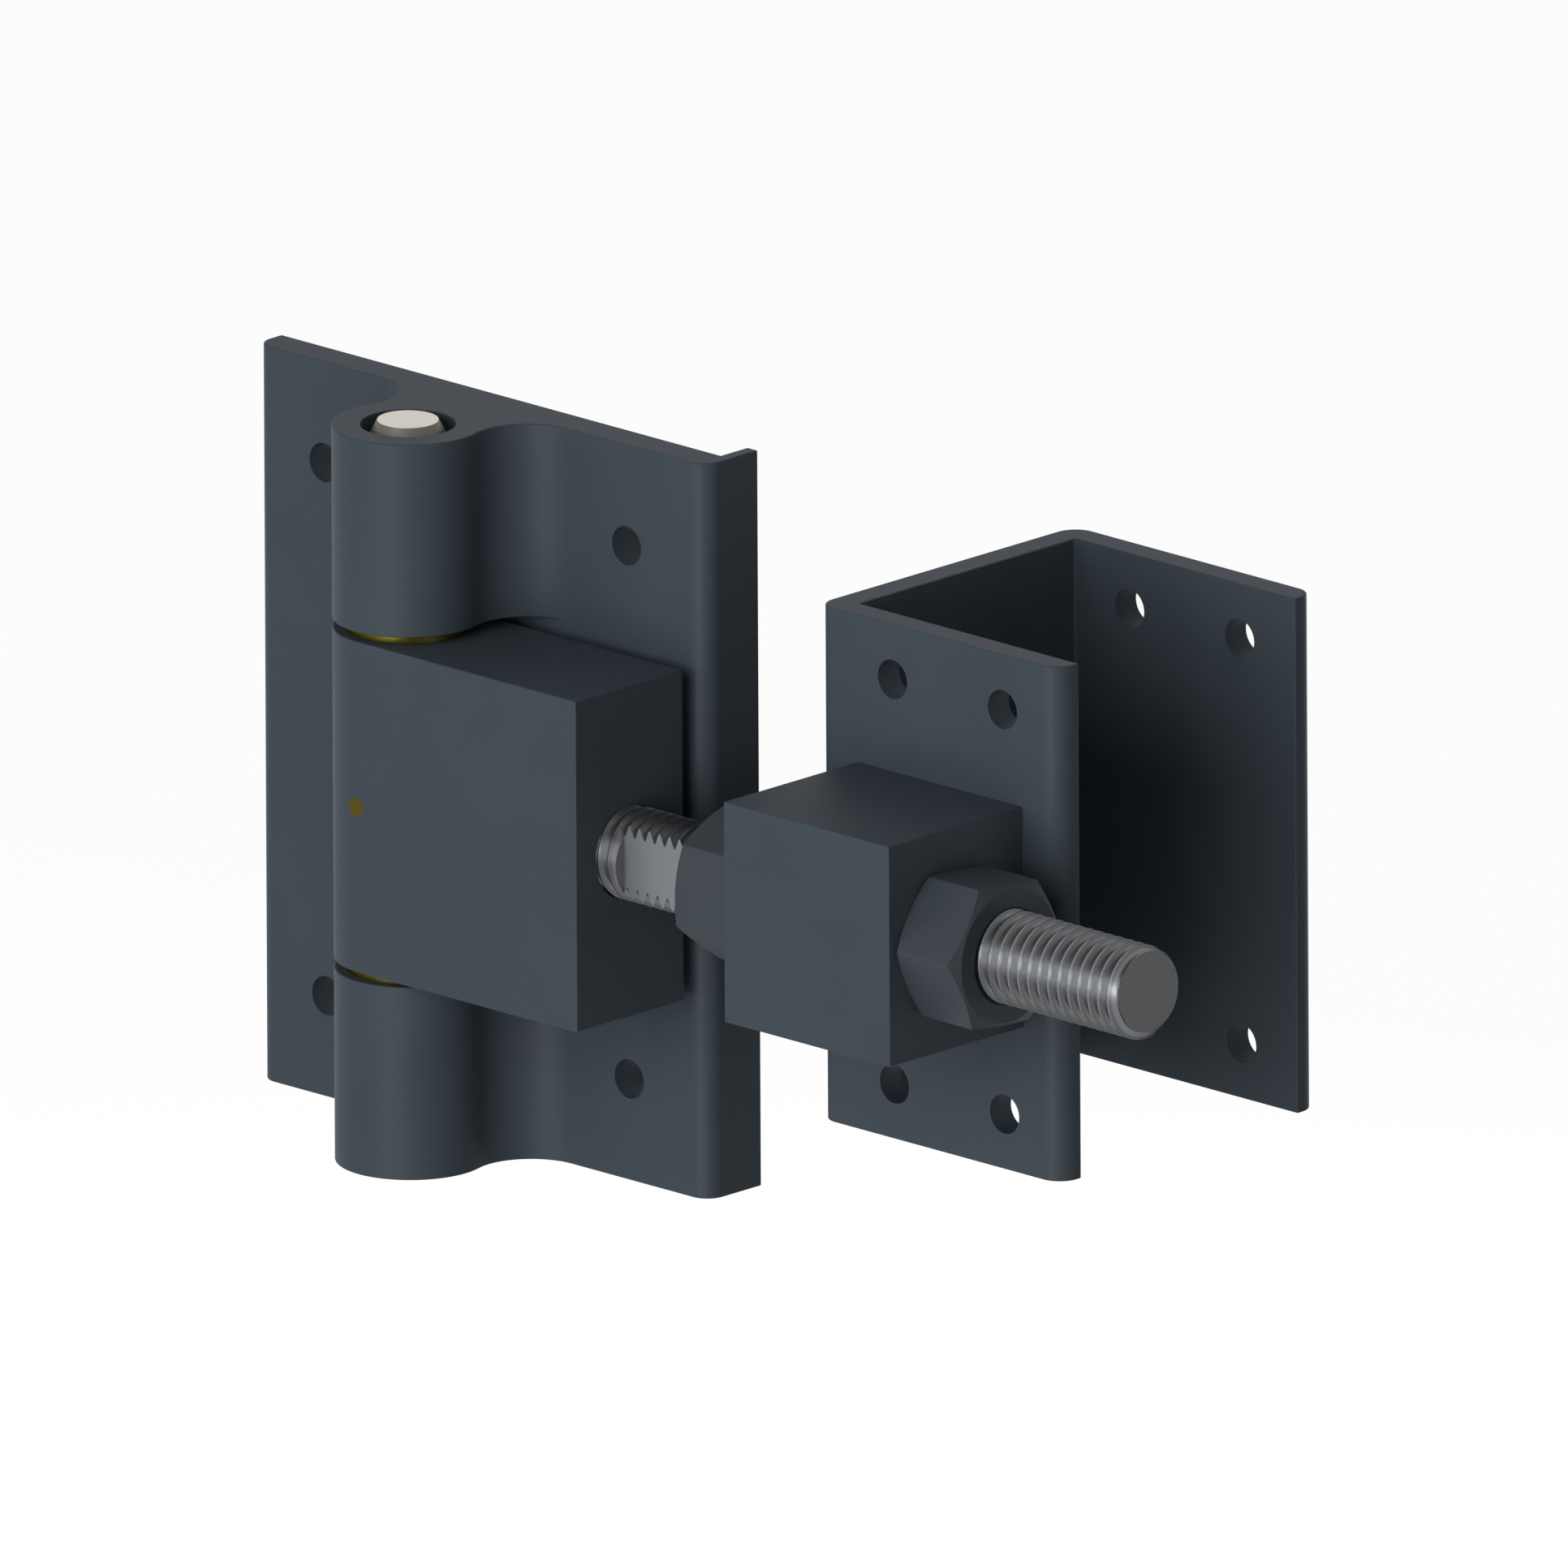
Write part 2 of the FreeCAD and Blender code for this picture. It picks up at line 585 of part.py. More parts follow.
def main():
    doc = FreeCAD.newDocument("GateHinge")
    fill_sheet(doc)
    nodes = [
        make_knuckle_leaf(doc),
        make_bush(doc, "upper_bush", 1),
        make_bush(doc, "lower_bush", -1),
        make_hinge_pin(doc),
        make_hinge_block(doc),
        make_cross_dowel(doc),
        make_adjusting_rod(doc),
        make_nut(doc, "inner_nut", INNER_NUT_X, SIZES["inner_nut_turn"]),
        make_nut(doc, "outer_nut", OUTER_NUT_X, SIZES["outer_nut_turn"]),
        make_adjuster_block(doc),
        make_gate_bracket(doc),
        make_block_screw(doc, "block_screw_upper", 1),
        make_block_screw(doc, "block_screw_lower", -1),
    ]
    doc.recompute()
    check(doc, nodes)
    os.makedirs("parts", exist_ok=True)
    for node in nodes:
        node.Shape.exportStep(f"parts/{node.Label}.step")
        box = node.Shape.BoundBox
        corners = [round(v, 3) for v in (box.XMin, box.YMin, box.ZMin, box.XMax, box.YMax, box.ZMax)]
        print(node.Label, round(node.Shape.Volume), corners)


main()
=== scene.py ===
"""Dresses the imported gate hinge: cut threads, real nuts, coats and metals, and a plain studio."""

import json
import math

import bmesh
import bpy
from bpy.props import FloatProperty, FloatVectorProperty, IntProperty, PointerProperty
from bpy.types import Operator, Panel, PropertyGroup
from mathutils import Matrix, Vector


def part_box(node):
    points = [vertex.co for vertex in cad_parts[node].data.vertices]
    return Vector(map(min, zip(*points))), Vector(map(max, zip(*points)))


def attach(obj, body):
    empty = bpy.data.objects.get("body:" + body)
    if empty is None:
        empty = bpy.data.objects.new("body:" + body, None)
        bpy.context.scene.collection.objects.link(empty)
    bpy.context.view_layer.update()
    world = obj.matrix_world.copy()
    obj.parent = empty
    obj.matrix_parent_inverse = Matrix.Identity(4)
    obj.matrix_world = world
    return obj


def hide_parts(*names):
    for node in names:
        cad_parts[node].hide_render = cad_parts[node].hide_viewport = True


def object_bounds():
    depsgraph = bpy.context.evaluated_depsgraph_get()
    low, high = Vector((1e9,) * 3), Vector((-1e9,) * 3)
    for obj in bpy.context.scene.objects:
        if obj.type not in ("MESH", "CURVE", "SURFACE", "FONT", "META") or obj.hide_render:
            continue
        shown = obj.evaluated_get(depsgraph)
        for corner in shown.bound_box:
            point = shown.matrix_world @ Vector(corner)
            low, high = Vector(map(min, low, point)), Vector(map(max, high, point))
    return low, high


bl_info = {
    "name": "Gate Hinge Finish",
    "version": (1, 0, 0),
    "blender": (4, 5, 0),
    "location": "3D View > Sidebar > Gate Hinge",
    "description": "Threads, nuts, coats and metals for an adjustable gate hinge",
    "category": "Object",
}

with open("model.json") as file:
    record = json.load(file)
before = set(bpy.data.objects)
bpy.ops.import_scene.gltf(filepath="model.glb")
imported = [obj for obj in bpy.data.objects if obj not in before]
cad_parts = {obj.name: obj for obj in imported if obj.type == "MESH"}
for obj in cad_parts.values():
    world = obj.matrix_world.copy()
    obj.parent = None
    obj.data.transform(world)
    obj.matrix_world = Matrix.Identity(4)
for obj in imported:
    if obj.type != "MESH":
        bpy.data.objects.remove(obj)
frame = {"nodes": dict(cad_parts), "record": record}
CAD_LOW, CAD_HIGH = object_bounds()
ROD_LOW, ROD_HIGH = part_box("adjusting_rod")
PIN_LOW, PIN_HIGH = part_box("hinge_pin")
ROD_AXIS = (ROD_LOW + ROD_HIGH) / 2
PIN_AXIS = (PIN_LOW + PIN_HIGH) / 2
ROD_RADIUS = (ROD_HIGH.z - ROD_LOW.z) / 2

MM = 0.001
MERGE_DISTANCE = 0.001 * MM
CUT_MARGIN = 1.5 * MM
FLAT_ANGLE = math.radians(0.5)
SHARP_ANGLE = math.radians(35)
HALF_HEXAGON = math.radians(30)
COUNTERSINK_SLOPE = math.radians(30)

# A 60 degree thread: slope of a flank, and the crest's share of the pitch
FLANK_ANGLE = math.radians(30)
CREST_SHARE = 1 / 8

# Cosine above which a direction counts as parallel to an axis
PARALLEL = 0.99

# How far the rims of the screw holes and of the dowel's hole reach, to keep them sharp
RIM_MARGIN = 0.1 * MM
DOWEL_REACH = 2 * MM

# The middle of the view, from the frame's origin, and where the camera stands
VIEW_RIGHT = 46.40 * MM
VIEW_DOWN = 3.51 * MM
CAMERA_DISTANCE = 1.2

FLOOR_SIZE = 12
FLOOR_TONE = 0.15
FLOOR_GLOW = 0.96

# Sockets of the Mix node that carry colours
MIX_FACTOR, MIX_FIRST, MIX_SECOND, MIX_RESULT = 0, 6, 7, 2


class ThreadSizes(PropertyGroup):
    """The thread on the rod and in the nuts."""

    pitch: FloatProperty(
        name="Pitch",
        description="Distance from one crest to the next",
        default=25.4 / 11 * MM,
        unit="LENGTH",
    )
    depth: FloatProperty(
        name="Depth",
        description="Height of a crest over the root",
        default=1.416 * MM,
        unit="LENGTH",
    )
    start: FloatProperty(
        name="Start",
        description="Angle at which the thread starts",
        default=math.radians(-32),
        subtype="ANGLE",
    )
    clearance: FloatProperty(
        name="Clearance",
        description="Room between the rod's thread and a nut's, all round",
        default=0.05 * MM,
        unit="LENGTH",
    )
    steps: IntProperty(
        name="Steps",
        description="Faces round one turn",
        default=48,
        min=12,
    )


class RodSizes(PropertyGroup):
    """Ends and wrench flats of the rod."""

    chamfer: FloatProperty(
        name="End Chamfer",
        description="Chamfer at both ends",
        default=0.7 * MM,
        unit="LENGTH",
    )
    across_flats: FloatProperty(
        name="Across Flats",
        description="Distance between the two wrench flats",
        default=9.525 * MM,
        unit="LENGTH",
    )
    flats_start: FloatProperty(
        name="Flats Start",
        description="Where the wrench flats start, from the rod's left end",
        default=36.2 * MM,
        unit="LENGTH",
    )
    flats_length: FloatProperty(
        name="Flats Length",
        description="Length of the wrench flats",
        default=15.875 * MM,
        unit="LENGTH",
    )


class NutSizes(PropertyGroup):
    """The two hexagon nuts."""

    across_flats: FloatProperty(
        name="Across Flats",
        description="Width of a nut over two opposite flats",
        default=23.8 * MM,
        unit="LENGTH",
    )
    face_diameter: FloatProperty(
        name="Face Diameter",
        description="Diameter of the flat ring inside the bevel",
        default=22.8 * MM,
        unit="LENGTH",
    )
    bevel_angle: FloatProperty(
        name="Bevel Angle",
        description="Slope of the bevel at both ends",
        default=math.radians(28),
        subtype="ANGLE",
    )
    bore_diameter: FloatProperty(
        name="Bore Diameter",
        description="Hole that the thread is cut in",
        default=13.5 * MM,
        unit="LENGTH",
    )
    countersink_diameter: FloatProperty(
        name="Countersink Diameter",
        description="Widest part of the countersink at both ends",
        default=16.7 * MM,
        unit="LENGTH",
    )
    edge_round: FloatProperty(
        name="Edge Round",
        description="Rounding of the six long edges",
        default=0.25 * MM,
        unit="LENGTH",
    )
    inner_turn: FloatProperty(
        name="Inner Nut Turn",
        description="Turn of the nut next to the swinging block",
        default=math.radians(23.5),
        subtype="ANGLE",
    )
    outer_turn: FloatProperty(
        name="Outer Nut Turn",
        description="Turn of the nut at the rod's free end",
        default=math.radians(-4.0),
        subtype="ANGLE",
    )


class PinSizes(PropertyGroup):
    """The chamfer at both ends of the hinge pin."""

    face_radius: FloatProperty(
        name="Face Radius",
        description="Radius of the flat end inside the chamfer",
        default=5.12 * MM,
        unit="LENGTH",
    )
    chamfer_length: FloatProperty(
        name="Chamfer Length",
        description="Length of the chamfer along the pin",
        default=2.3 * MM,
        unit="LENGTH",
    )


class EdgeSizes(PropertyGroup):
    """Rounding on the coated aluminium pieces."""

    outside: FloatProperty(
        name="Outside",
        description="Rounding of the sharp outer edges",
        default=0.25 * MM,
        unit="LENGTH",
    )
    channel: FloatProperty(
        name="Channel",
        description="Rounding of the bracket's two inside corners",
        default=0.6 * MM,
        unit="LENGTH",
    )


class FinishColours(PropertyGroup):
    """Base colours of the finishes."""

    powder_coat: FloatVectorProperty(
        name="Powder Coat",
        description="Coat on the leaf, the blocks and the bracket",
        default=(0.070, 0.087, 0.106),
        subtype="COLOR",
    )
    nut_coat: FloatVectorProperty(
        name="Nut Coat",
        description="Dark coat on the nuts",
        default=(0.060, 0.072, 0.086),
        subtype="COLOR",
    )
    zinc: FloatVectorProperty(
        name="Zinc",
        description="Zinc plate on the rod",
        default=(0.134, 0.138, 0.144),
        subtype="COLOR",
    )
    ground_steel: FloatVectorProperty(
        name="Ground Steel",
        description="Bare steel of the hinge pin",
        default=(0.56, 0.53, 0.46),
        subtype="COLOR",
    )
    bronze: FloatVectorProperty(
        name="Bronze",
        description="Turned bronze of the bushes",
        default=(0.090, 0.077, 0.010),
        subtype="COLOR",
    )
    brass: FloatVectorProperty(
        name="Brass",
        description="Turned brass of the cross dowel",
        default=(0.095, 0.073, 0.014),
        subtype="COLOR",
    )
    black_oxide: FloatVectorProperty(
        name="Black Oxide",
        description="Oxide finish on the block screws",
        default=(0.030, 0.030, 0.032),
        subtype="COLOR",
    )


class StudioSettings(PropertyGroup):
    """Camera, lamps and floor."""

    azimuth: FloatProperty(
        name="Azimuth",
        description="Camera's turn round the hinge from the front",
        default=math.radians(44.333),
        subtype="ANGLE",
    )
    elevation: FloatProperty(
        name="Elevation",
        description="Camera's height over the horizon",
        default=math.radians(16.693),
        subtype="ANGLE",
    )
    roll: FloatProperty(
        name="Roll",
        description="Camera's turn about its own line of sight",
        default=0.00505,
        subtype="ANGLE",
    )
    view_width: FloatProperty(
        name="View Width",
        description="Width of the parallel view",
        default=259.36 * MM,
        unit="LENGTH",
    )
    lamp_distance: FloatProperty(
        name="Lamp Distance",
        description="Distance from the middle of the hinge to each lamp",
        default=1.4,
        unit="LENGTH",
    )
    key_power: FloatProperty(
        name="Key Power",
        description="Power of the large lamp in front",
        default=12.1,
        min=0.0,
    )
    fill_power: FloatProperty(
        name="Fill Power",
        description="Power of the weak lamp at the right, which reaches into the channel",
        default=2.2,
        min=0.0,
    )
    right_power: FloatProperty(
        name="Right Power",
        description="Power of the small lamp at the right that draws a light line along the rod",
        default=2.1,
        min=0.0,
    )
    card_power: FloatProperty(
        name="Card Power",
        description="Power of the low card in front that only glosses show, on the rounded edges",
        default=4.5,
        min=0.0,
    )
    left_power: FloatProperty(
        name="Left Power",
        description="Power of the small lamp at the left that lights the thread's crests",
        default=1.0,
        min=0.0,
    )
    back_power: FloatProperty(
        name="Back Power",
        description="Power of the large lamp behind",
        default=11.0,
        min=0.0,
    )
    ambient: FloatProperty(
        name="Ambient",
        description="Strength of the light from all round",
        default=0.06,
        min=0.0,
        subtype="FACTOR",
    )
    floor_drop: FloatProperty(
        name="Floor Drop",
        description="Room between the hinge, which hangs on its post, and the floor",
        default=450 * MM,
        unit="LENGTH",
    )


def settings(name):
    return getattr(bpy.context.scene, f"gate_hinge_{name}")


def select_only(*objects):
    bpy.ops.object.select_all(action="DESELECT")
    for item in objects:
        item.select_set(True)
    bpy.context.view_layer.objects.active = objects[0]


def apply_place(item):
    select_only(item)
    bpy.ops.object.transform_apply(location=True, rotation=True, scale=True)


def select_where(item, kind, wanted):
    """In edit mode, select only the faces or edges for which wanted(face or edge) is true."""
    bpy.ops.mesh.select_mode(type=kind)
    bpy.ops.mesh.select_all(action="DESELECT")
    mesh = bmesh.from_edit_mesh(item.data)
    for part in mesh.faces if kind == "FACE" else mesh.edges:
        if wanted(part):
            part.select_set(True)
    bmesh.update_edit_mesh(item.data)


def combine(item, tool, operation):
    """Apply an exact boolean and remove the tool."""
    select_only(item)
    modifier = item.modifiers.new("combine", "BOOLEAN")
    modifier.operation = operation
    modifier.solver = "EXACT"
    modifier.object = tool
    bpy.ops.object.modifier_apply(modifier=modifier.name)
    bpy.data.objects.remove(tool)


def add_cylinder(name, radius, length, centre, sides=96):
    """A cylinder along X about centre."""
    bpy.ops.object.select_all(action="DESELECT")
    bpy.ops.mesh.primitive_cylinder_add(
        vertices=sides,
        radius=radius,
        depth=length,
        location=centre,
        rotation=(0, math.radians(90), 0),
    )
    item = bpy.context.object
    item.name = name
    item.data.name = name
    apply_place(item)
    return item


def add_block(low, high):
    """A box from its lowest to its highest corner."""
    low, high = Vector(low), Vector(high)
    bpy.ops.object.select_all(action="DESELECT")
    bpy.ops.mesh.primitive_cube_add(size=1, location=(low + high) / 2, scale=high - low)
    item = bpy.context.object
    apply_place(item)
    return item


def taper_ends(item, reach, scale):
    """Draw out both ends of a cylinder on the rod's axis by reach, and scale them into cones."""
    for side in (-1, 1):
        select_only(item)
        bpy.ops.object.mode_set(mode="EDIT")
        select_where(item, "FACE", lambda face: face.normal.x * side > PARALLEL)
        bpy.ops.mesh.extrude_region_move(TRANSFORM_OT_translate={"value": (side * reach, 0, 0)})
        bpy.ops.transform.resize(value=(1, scale, scale), center_override=ROD_AXIS)
        bpy.ops.object.mode_set(mode="OBJECT")


def add_thread(name, radius, start, end):
    """A closed threaded bar on the rod's axis, from start to end, with its crests at radius."""
    thread = settings("thread")
    pitch = thread.pitch
    flank = thread.depth * math.tan(FLANK_ANGLE)
    crest = pitch * CREST_SHARE
    root = pitch - crest - 2 * flank
    legs = [
        (crest / 2, 0),
        (flank, -thread.depth),
        (root, 0),
        (flank, thread.depth),
        (crest / 2, 0),
    ]
    first = ROD_LOW.x + math.floor((start - ROD_LOW.x) / pitch) * pitch
    turns = math.ceil((end - first) / pitch)
    # A plane merged into one point starts the profile, which is then turned into a helix
    bpy.ops.object.select_all(action="DESELECT")
    bpy.ops.mesh.primitive_plane_add(size=pitch)
    bar = bpy.context.object
    bar.name = name
    bar.data.name = name
    bpy.ops.object.mode_set(mode="EDIT")
    bpy.ops.mesh.select_all(action="SELECT")
    bpy.ops.mesh.merge(type="CENTER")
    bpy.ops.transform.translate(value=(0, 0, radius))
    for along, out in legs:
        bpy.ops.mesh.extrude_region_move(TRANSFORM_OT_translate={"value": (along, 0, out)})
    bpy.ops.object.mode_set(mode="OBJECT")
    modifier = bar.modifiers.new("thread", "SCREW")
    modifier.axis = "X"
    modifier.angle = 2 * math.pi
    modifier.screw_offset = pitch
    modifier.iterations = turns
    modifier.steps = thread.steps
    modifier.render_steps = thread.steps
    modifier.use_smooth_shade = False
    bpy.ops.object.modifier_apply(modifier=modifier.name)
    bpy.ops.object.mode_set(mode="EDIT")
    bpy.ops.mesh.select_all(action="SELECT")
    bpy.ops.mesh.remove_doubles(threshold=MERGE_DISTANCE)
    bpy.ops.mesh.fill_holes(sides=0)
    select_where(bar, "FACE", lambda face: len(face.verts) > 4)
    bpy.ops.mesh.poke()
    bpy.ops.mesh.select_all(action="SELECT")
    bpy.ops.mesh.quads_convert_to_tris()
    bpy.ops.mesh.normals_make_consistent(inside=False)
    bpy.ops.object.mode_set(mode="OBJECT")
    bar.rotation_euler.x = thread.start
    bar.location = (first, ROD_AXIS.y, ROD_AXIS.z)
    apply_place(bar)
    return bar


def smooth(item, degrees=30):
    select_only(item)
    bpy.ops.object.shade_smooth_by_angle(angle=math.radians(degrees))


def is_sharp(edge):
    return edge.calc_face_angle(0) > SHARP_ANGLE


def soft_copy(node, name, spare=lambda edge: False):
    """A copy of a CAD node with its sharp outer edges rounded, but not those that spare picks."""
    item = bpy.data.objects.new(name, frame["nodes"][node].data.copy())
    bpy.context.scene.collection.objects.link(item)
    select_only(item)
    bpy.ops.object.mode_set(mode="EDIT")
    bpy.ops.mesh.select_mode(type="VERT")
    bpy.ops.mesh.select_all(action="SELECT")
    bpy.ops.mesh.remove_doubles(threshold=MERGE_DISTANCE)
    bpy.ops.mesh.dissolve_limited(angle_limit=FLAT_ANGLE)
    select_where(
        item, "EDGE", lambda edge: is_sharp(edge) and edge.is_convex and not spare(edge)
    )
    bpy.ops.mesh.bevel(offset=settings("edges").outside, segments=3)
    bpy.ops.object.mode_set(mode="OBJECT")
    return item


def round_inside_corners(item):
    """Fillet the inside corners that run up along Z."""
    select_only(item)
    bpy.ops.object.mode_set(mode="EDIT")
    select_where(
        item, "EDGE", lambda edge: is_sharp(edge) and not edge.is_convex and runs_up(edge)
    )
    bpy.ops.mesh.bevel(offset=settings("edges").channel, segments=4)
    bpy.ops.object.mode_set(mode="OBJECT")


def runs_up(edge):
    along = edge.verts[1].co - edge.verts[0].co
    return abs(along.z) > PARALLEL * along.length


def even_shading(item, degrees=35):
    """Smooth shading in which each large face keeps its own normal up to its rounded edges."""
    smooth(item, degrees)
    modifier = item.modifiers.new("even_shading", "WEIGHTED_NORMAL")
    modifier.keep_sharp = True
    bpy.ops.object.modifier_apply(modifier=modifier.name)


def hand_over(item, body, node):
    """The finished piece rides on a body and stands for a CAD node."""
    if not item.data.polygons:
        raise RuntimeError(f"{item.name} came out empty")
    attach(item, body)
    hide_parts(node)


class Shade:
    """A shader output on which Python's arithmetic adds Math nodes."""

    def __init__(self, finish, socket):
        self.finish = finish
        self.socket = socket

    def math(self, operation, *values):
        return self.finish.math(operation, *values)

    def __add__(self, other):
        return self.math("ADD", self, other)

    def __radd__(self, other):
        return self.math("ADD", other, self)

    def __sub__(self, other):
        return self.math("SUBTRACT", self, other)

    def __rsub__(self, other):
        return self.math("SUBTRACT", other, self)

    def __mul__(self, other):
        return self.math("MULTIPLY", self, other)

    def __truediv__(self, other):
        return self.math("DIVIDE", self, other)

    def __pow__(self, other):
        return self.math("POWER", self, other)

    def __gt__(self, other):
        return self.math("GREATER_THAN", self, other)

    def __lt__(self, other):
        return self.math("LESS_THAN", self, other)

    def __abs__(self):
        return self.math("ABSOLUTE", self)


class Finish:
    """A material, or the surroundings, built up node by node."""

    def __init__(self, name, kind="materials"):
        self.owner = getattr(bpy.data, kind).new(name)
        self.owner.use_nodes = True
        self.tree = self.owner.node_tree
        self.tree.nodes.clear()

    def node(self, kind, options=None, inputs=None):
        """Add any node: its options are set first, then the values or links of its sockets."""
        made = self.tree.nodes.new(kind)
        for name, value in (options or {}).items():
            if name == "stops":
                self.set_stops(made.color_ramp, value)
            else:
                setattr(made, name, value)
        for name, value in (inputs or {}).items():
            if isinstance(value, Shade):
                self.tree.links.new(value.socket, made.inputs[name])
            else:
                made.inputs[name].default_value = value
        return made

    def shade(self, kind, output, options=None, inputs=None):
        return Shade(self, self.node(kind, options, inputs).outputs[output])

    def math(self, operation, *values):
        inputs = dict(enumerate(values))
        return self.shade("ShaderNodeMath", "Value", {"operation": operation}, inputs)

    def set_stops(self, ramp, stops):
        while len(ramp.elements) < len(stops):
            ramp.elements.new(1.0)
        for element, (position, level) in zip(ramp.elements, stops):
            element.position = position
            element.color = (level, level, level, 1)

    def ramp(self, value, *stops):
        return self.shade("ShaderNodeValToRGB", "Color", {"stops": stops}, {"Fac": value})

    def coordinates(self):
        return self.shade("ShaderNodeTexCoord", "Object")

    def axes(self, vector):
        parts = self.node("ShaderNodeSeparateXYZ", None, {"Vector": vector})
        return [Shade(self, parts.outputs[axis]) for axis in "XYZ"]

    def vector(self, x, y, z):
        return self.shade("ShaderNodeCombineXYZ", "Vector", None, {"X": x, "Y": y, "Z": z})

    def noise(self, vector, scale, detail=2.0, roughness=0.5):
        inputs = {"Vector": vector, "Scale": scale, "Detail": detail, "Roughness": roughness}
        return self.shade("ShaderNodeTexNoise", "Fac", None, inputs)

    def mix(self, factor, first, second):
        """A colour between two colours, each a Shade or three numbers."""
        inputs = {MIX_FACTOR: factor}
        for socket, colour in ((MIX_FIRST, first), (MIX_SECOND, second)):
            inputs[socket] = colour if isinstance(colour, Shade) else (*colour, 1)
        return self.shade("ShaderNodeMix", MIX_RESULT, {"data_type": "RGBA"}, inputs)

    def bump(self, height, distance):
        inputs = {"Height": height, "Distance": distance, "Strength": 1.0}
        return self.shade("ShaderNodeBump", "Normal", None, inputs)

    def surface(self, inputs):
        shader = self.shade("ShaderNodeBsdfPrincipled", "BSDF", None, inputs)
        self.node("ShaderNodeOutputMaterial", None, {"Surface": shader})
        return self.owner

    def background_rays(self):
        """1 for the rays that see the background: straight, off a gloss or through glass."""
        rays = self.node("ShaderNodeLightPath").outputs
        straight = Shade(self, rays["Is Camera Ray"])
        gloss = Shade(self, rays["Is Glossy Ray"])
        glass = Shade(self, rays["Is Transmission Ray"])
        seen = self.math("MAXIMUM", straight, gloss)
        return self.math("MAXIMUM", seen, glass)


def tint(colour, factor):
    return tuple(min(1.0, channel * factor) for channel in colour)


def coat_finish(name, colour, roughness, level):
    """Satin powder coat: a faint orange peel, fine grit and slightly uneven colour."""
    finish = Finish(name)
    place = finish.coordinates()
    cloud = finish.noise(place, 45, 3)
    peel = finish.noise(place, 620, 1.5)
    grit = finish.noise(place, 2900, 2)
    patch = finish.ramp(cloud, (0.3, 0.0), (0.7, 1.0))
    base = finish.mix(patch, tint(colour, 0.95), tint(colour, 1.05))
    speck = finish.ramp(grit, (0.62, 0.0), (0.74, 1.0))
    return finish.surface({
        "Base Color": finish.mix(speck * 0.35, base, tint(colour, 1.45)),
        "Roughness": roughness + cloud * 0.06 + grit * 0.06,
        "Specular IOR Level": level,
        "Normal": finish.bump(peel * 0.8 + grit * 0.2, 0.022 * MM),
    })


def zinc_finish(name, colour):
    """Zinc on a cut thread: a painted crest highlight, darker flanks, lighter roots and flats,
    painted shade on the free end.
    """
    finish = Finish(name)
    place = finish.coordinates()
    x, y, z = finish.axes(place)
    across = y - ROD_AXIS.y
    up = z - ROD_AXIS.z
    radius = (across * across + up * up) ** 0.5
    rod = settings("rod")
    left = ROD_LOW.x + rod.flats_start
    edge = 0.05 * MM
    milled = (x > left - edge) * (x < left + rod.flats_length + edge)
    flat = milled * (abs(across) > rod.across_flats / 2 - edge)
    # The free end face is darkened with painted shade.
    shaded_end_face = x > ROD_HIGH.x - edge
    depth = settings("thread").depth
    sunk = (ROD_RADIUS - radius) / depth
    # Painted light by depth in the thread: a painted highlight on the crests, darker flanks and
    # lighter roots.
    painted_thread_light = finish.ramp(sunk, (0.0, 0.85), (0.06, 0.42), (0.25, 0.42), (0.5, 0.66))
    marks = finish.noise(finish.vector(x * 60, y * 4, z * 4), 160, 3)
    bloom = finish.noise(place, 90, 4, 0.6)
    bright = finish.mix(bloom, tint(colour, 1.84), tint(colour, 2.0))
    plated = finish.mix(painted_thread_light, (0, 0, 0), bright)
    milled_zinc = finish.mix(flat, plated, tint(colour, 1.4))
    return finish.surface({
        # Painted shade darkens the free end face.
        "Base Color": finish.mix(shaded_end_face, milled_zinc, tint(colour, 0.70)),
        "Metallic": 1.0,
        "Specular Tint": (0.15, 0.15, 0.15, 1),
        "Roughness": 0.25 + marks * 0.08 + bloom * 0.06 + flat * 0.2,
        "Normal": finish.bump(marks, 0.006 * MM),
    })


def turned_marks(finish, place, first, second, length):
    """Distance from the turning axis, and the fine rings and the stains of turned metal."""
    radius = (first * first + second * second) ** 0.5
    rings = finish.noise(finish.vector(radius * 30, length * 30, 0.0), 260, 3)
    cloud = finish.noise(place, 220, 4, 0.6)
    stain = finish.ramp(cloud, (0.35, 0.0), (0.75, 1.0))
    return radius, rings, stain


def pin_finish(name, colour):
    """Ground steel: bright ends with fine turned rings, and a rougher, less metallic chamfer round
    each, darkened with painted shade.
    """
    finish = Finish(name)
    place = finish.coordinates()
    x, y, z = finish.axes(place)
    radius, rings, stain = turned_marks(finish, place, x - PIN_AXIS.x, y - PIN_AXIS.y, z)
    end = (PIN_HIGH.z - PIN_LOW.z) / 2
    sizes = settings("pin")
    near_end = abs(z - PIN_AXIS.z) > end - sizes.chamfer_length
    chamfer = near_end * (radius > sizes.face_radius)
    bright = finish.mix(stain * 0.12, colour, tint(colour, 0.45))
    return finish.surface({
        # The chamfer's dark colour is painted shade.
        "Base Color": finish.mix(chamfer, bright, tint(colour, 0.27)),
        "Metallic": 1.0 - chamfer * 0.6,
        "Roughness": 0.2 + rings * 0.12 + stain * 0.05 + chamfer * 0.15,
        "Normal": finish.bump(rings, 0.008 * MM),
    })


